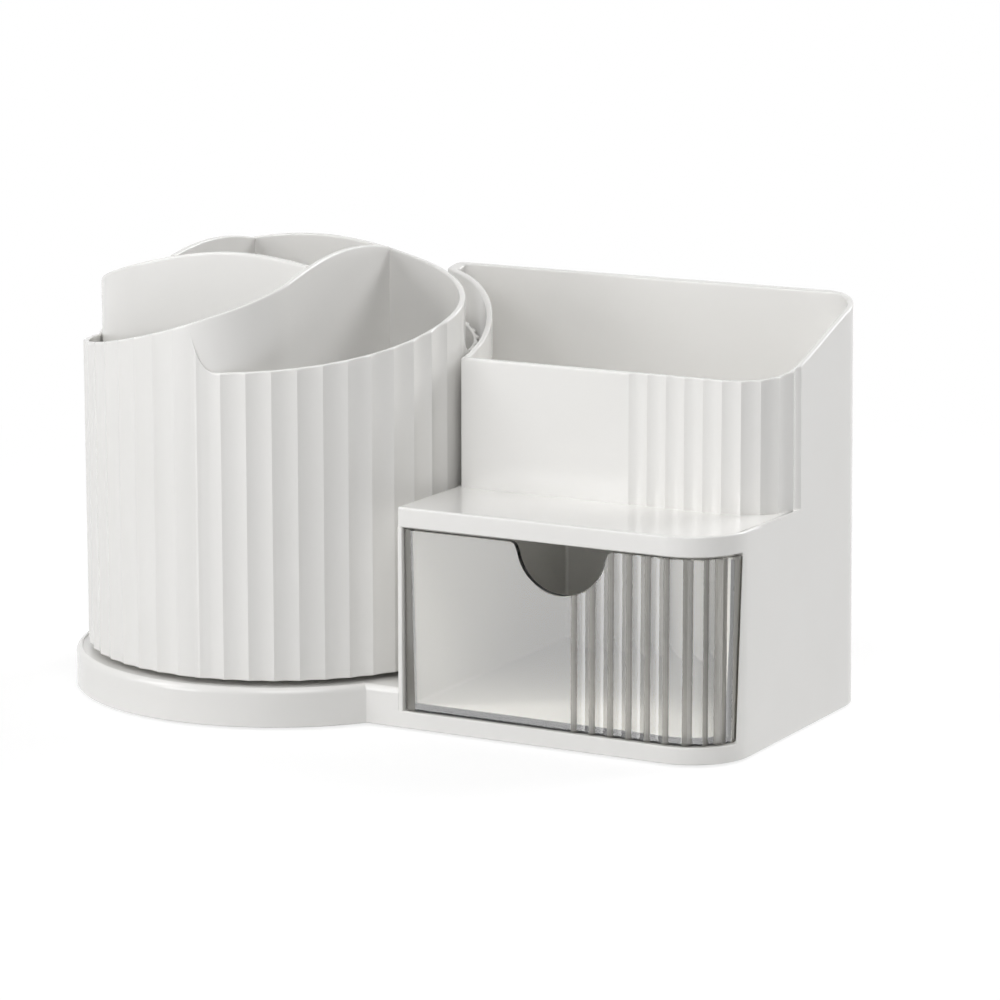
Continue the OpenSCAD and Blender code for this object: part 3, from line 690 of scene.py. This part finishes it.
def grey_foot_rubber():
    """Moulded rubber: dull mid grey with a fine dusty grain."""
    material, t = new_material("grey_foot_rubber")
    place_at = node(t, "ShaderNodeTexCoord").outputs["Object"]
    grain = node(t, "ShaderNodeTexNoise", {"Vector": place_at, "Scale": 1000 / 0.4, "Detail": 4.0})
    tint = node(t, "ShaderNodeMix", {
        0: grain.outputs["Fac"], 6: hex_colour("#6E6E6C"), 7: hex_colour("#858583")}, data_type="RGBA")
    bump = node(t, "ShaderNodeBump", {"Height": grain.outputs["Fac"], "Strength": 0.3, "Distance": 0.00005})
    shader = node(t, "ShaderNodeBsdfPrincipled", {
        "Base Color": tint.outputs[2], "Roughness": 0.85, "Normal": bump.outputs["Normal"], "IOR": 1.5})
    node(t, "ShaderNodeOutputMaterial", {"Surface": shader.outputs["BSDF"]})
    return material


white = white_moulded_plastic()
smoked = smoked_polystyrene("smoked_clear_polystyrene", False)
frosted = smoked_polystyrene("frosted_polystyrene", True)
# Painted shade for the drawer's flanks, bevel and seam
drawer_painted_shade = polystyrene_painted_shade()
acetal = natural_acetal()
steel = zinc_plated_steel()
rubber = grey_foot_rubber()


# Pieces

def finish_drawer(piece):
    """Gives each face of the drawer its finish. Behind the front and its turned corner the drawer is frosted.
    Painted shade goes on the flank that begins each flute, far round the turn also on the one that ends it,
    on the bevel and on the seam at the right."""
    piece.data.materials.append(frosted)
    piece.data.materials.append(drawer_painted_shade)
    across = piece.data.attributes.new("painted_shade_across_flank", "FLOAT", "FACE")
    for face in piece.data.polygons:
        x, y, z = 1000 * face.center.x - ROW_X, 1000 * face.center.y, 1000 * face.center.z - ROW_Z
        dx, dy = x - (SIDE_X - CORNER_R), y - (FRONT_Y + CORNER_R)
        seam_y = CORNER_R * sin(radians(seam_angle(z)))
        turned = dx > 0 and dy < 0
        # Depth under the front, and the flutes counted from the first
        if turned:
            depth = CORNER_R - hypot(dx, dy)
            along = FLUTES * (1 + degrees(atan2(dx, -dy)) / 90)
        else:
            depth = dy + CORNER_R
            along = (x - FLUTE_START) / FLUTE_PITCH
        part = along - floor(along)
        if along < FLUTES + 1:
            wide = FRONT_SHADED_PART
        elif along < FLUTES + 2:
            wide = SECOND_SHADED_PART
        else:
            wide = TURN_SHADED_PART
        begins = part < wide
        ends = along > FLUTES + 2 and part > END_SHADED_FROM
        bevelled = x < DRAWER_LEFT + bevel_width(z)
        # Where the turned corner ends, one looks along the whole wall: the seam gets a painted shade that is
        # nearly black
        at_seam = turned and degrees(atan2(dy, dx)) > seam_angle(z) - SEAM_WIDE
        if depth > DRAWER_WALL + 0.6 or dy > seam_y + 0.3:
            face.material_index = 1
        elif bevelled or (depth < FLUTE_DEPTH and along > 0 and (begins or ends or at_seam)):
            face.material_index = 2
            if at_seam:
                across.data[face.index].value = SEAM_PAINTED_SHADE
            elif bevelled:
                across.data[face.index].value = BEVEL_PAINTED_SHADE
            elif begins:
                across.data[face.index].value = part / wide
            else:
                across.data[face.index].value = (part - END_SHADED_FROM) / (1 - END_SHADED_FROM)


place(base_moulding(), white, "root", "white_plastic", "base_shell")
place(housing_walls(), white, "root", "white_plastic", "housing_shell")
place(shelf_and_bin(), white, "root", "white_plastic", "bin_shell")
for k in (0, 1):
    wall = blade(k)
    far = second(wall, f"drum_wall_{k + 3}")
    place(wall, white, "drum", "white_plastic", f"drum_blade_{k + 1}")
    place(far, white, "drum", "white_plastic", f"drum_blade_{k + 3}")
place(drum_plate(), white, "drum", "white_plastic", "drum_floor")
drawer = place(drawer_moulding(), smoked, "drawer", "smoked_clear", "drawer")
finish_drawer(drawer)

finishes = {"bottom_cover": white, "cover_screws": steel, "ball_cage": acetal, "bearing_balls": steel,
            "pivot_bush": acetal, "pivot_washer": steel, "pivot_screw": steel}
finishes.update({f"rubber_foot_{i}": rubber for i in range(1, 7)})
for name, material in finishes.items():
    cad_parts[name].data.materials.clear()
    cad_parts[name].data.materials.append(material)


# Studio

def floor_paper():
    """White paper: matte; seen straight it is as bright as the backdrop, less the object's shadow."""
    material, t = new_material("white_floor_paper")
    path = node(t, "ShaderNodeLightPath")
    seen = node(t, "ShaderNodeMath", {
        0: path.outputs["Is Camera Ray"], 1: path.outputs["Is Glossy Ray"]}, operation="MAXIMUM")
    seen = node(t, "ShaderNodeMath", {
        0: seen.outputs[0], 1: path.outputs["Is Transmission Ray"]}, operation="MAXIMUM")
    plain = node(t, "ShaderNodeBsdfDiffuse", {"Color": (0.8, 0.8, 0.8, 1)})
    veil = node(t, "ShaderNodeBsdfDiffuse", {"Color": (0.3, 0.3, 0.3, 1)})
    glow = node(t, "ShaderNodeEmission", {"Color": (1, 1, 1, 1), "Strength": 0.78})
    shown = node(t, "ShaderNodeAddShader", {0: veil.outputs[0], 1: glow.outputs[0]})
    # From 0.2 m out the paper burns out, and half a metre out it is plain white
    place_at = node(t, "ShaderNodeTexCoord").outputs["Object"]
    away = node(t, "ShaderNodeVectorMath", {0: place_at}, operation="LENGTH")
    fade = node(t, "ShaderNodeMapRange", {"Value": away.outputs["Value"], "From Min": 0.2, "From Max": 0.5})
    burnt = node(t, "ShaderNodeEmission", {"Color": (1, 1, 1, 1), "Strength": 1.0})
    shown = node(t, "ShaderNodeMixShader", {0: fade.outputs[0], 1: shown.outputs[0], 2: burnt.outputs[0]})
    mix = node(t, "ShaderNodeMixShader", {0: seen.outputs[0], 1: plain.outputs[0], 2: shown.outputs[0]})
    node(t, "ShaderNodeOutputMaterial", {"Surface": mix.outputs[0]})
    return material


bpy.ops.object.select_all(action="DESELECT")
bpy.ops.mesh.primitive_plane_add(size=6, location=(0, 0, 0))
floor_sheet = bpy.context.object
floor_sheet.name = "floor_sheet"
floor_sheet.data.materials.append(floor_paper())
floor_sheet.visible_glossy = False

world = bpy.data.worlds.new("studio")
bpy.context.scene.world = world
world.use_nodes = True
world.node_tree.nodes.clear()
t = world.node_tree
path = node(t, "ShaderNodeLightPath")
seen = node(t, "ShaderNodeMath", {
    0: path.outputs["Is Camera Ray"], 1: path.outputs["Is Glossy Ray"]}, operation="MAXIMUM")
seen = node(t, "ShaderNodeMath", {
    0: seen.outputs[0], 1: path.outputs["Is Transmission Ray"]}, operation="MAXIMUM")
backdrop = node(t, "ShaderNodeBackground", {"Color": (1, 1, 1, 1), "Strength": 1.0})
ambient = node(t, "ShaderNodeBackground", {"Color": (1, 1, 1, 1), "Strength": 0.03})
both = node(t, "ShaderNodeMixShader", {0: seen.outputs[0], 1: ambient.outputs[0], 2: backdrop.outputs[0]})
node(t, "ShaderNodeOutputWorld", {"Surface": both.outputs[0]})


# Middle of the drawer's front, in the shared frame
drawer_face = ((NOTCH_X + ROW_X) / 1000, FRONT_Y / 1000, 0.034)


def softbox(name, place_at, aim, size, power):
    """A large square lamp that faces a point."""
    bpy.ops.object.light_add(type="AREA", location=place_at)
    lamp = bpy.context.object
    lamp.name = name
    lamp.data.size = size
    lamp.data.energy = power
    dx, dy, dz = (aim[i] - place_at[i] for i in range(3))
    length = sqrt(dx * dx + dy * dy + dz * dz)
    lamp.rotation_euler = (acos(-dz / length), 0, atan2(dy, dx) - pi / 2)
    return lamp


# The lamps face the object's middle
aim = (0, 0, 0.06)
softbox("key_softbox", (-1.4, -1.0, 1.6), aim, 0.6, 7.8)
softbox("side_softbox", (-1.6, -1.1, 1.0), aim, 0.6, 4.5)
softbox("front_softbox", (-1.1, -1.3, 1.5), aim, 1.0, 3.4)
softbox("low_softbox", (-0.9, -1.7, 0.3), aim, 0.8, 9.2)
softbox("fill_softbox", (0.8, -1.2, 1.7), aim, 1.2, 17.9)
softbox("back_softbox", (0.9, 1.4, 1.2), aim, 1.0, 22.7)
softbox("top_softbox", (0.2, 0.0, 2.0), aim, 1.4, 2.6)

# A low lamp that reaches under the shelf into the drawer
bay = softbox("bay_softbox", (1.03, -1.19, 0.08), drawer_face, 0.5, 3.2)
bay.visible_glossy = False

# Bright cards that show in the drawer's polished faces alone; they stand partly below the floor, which
# reflections don't show. Each has its name, its angle to the left of straight ahead, its width in metres
# and its level
polished = bpy.data.collections.new("polished_faces")
polished.objects.link(drawer)
bay.light_linking.receiver_collection = polished
cards = (("wide_card", 2, 1.9, 5.4),
         ("left_card", 55, 0.58, 2.0),
         ("right_card", -78, 1.4, 3.6))
reach, high = 0.8, 0.5
for name, middle, width, level in cards:
    aside, ahead = reach * sin(radians(middle)), reach * cos(radians(middle))
    place_at = (drawer_face[0] - aside, drawer_face[1] - ahead, drawer_face[2] - 0.2 * reach)
    card = softbox(name, place_at, drawer_face, width, level * pi * width * high)
    card.data.shape = "RECTANGLE"
    card.data.size_y = high
    card.visible_diffuse = card.visible_transmission = card.visible_camera = False
    card.light_linking.receiver_collection = polished

# The camera stands to the right of the front and looks down a little
looks_down, stands_right = radians(11.299), radians(28.587)
bpy.ops.object.camera_add(
    location=(0.62328, -1.09936, 0.31489), rotation=(radians(90) - looks_down, 0, stands_right))
camera = bpy.context.object
camera.data.lens = 151.83
camera.data.sensor_width = 36
camera.data.clip_start = 0.05
bpy.context.scene.camera = camera
bpy.context.scene.view_settings.view_transform = "Standard"
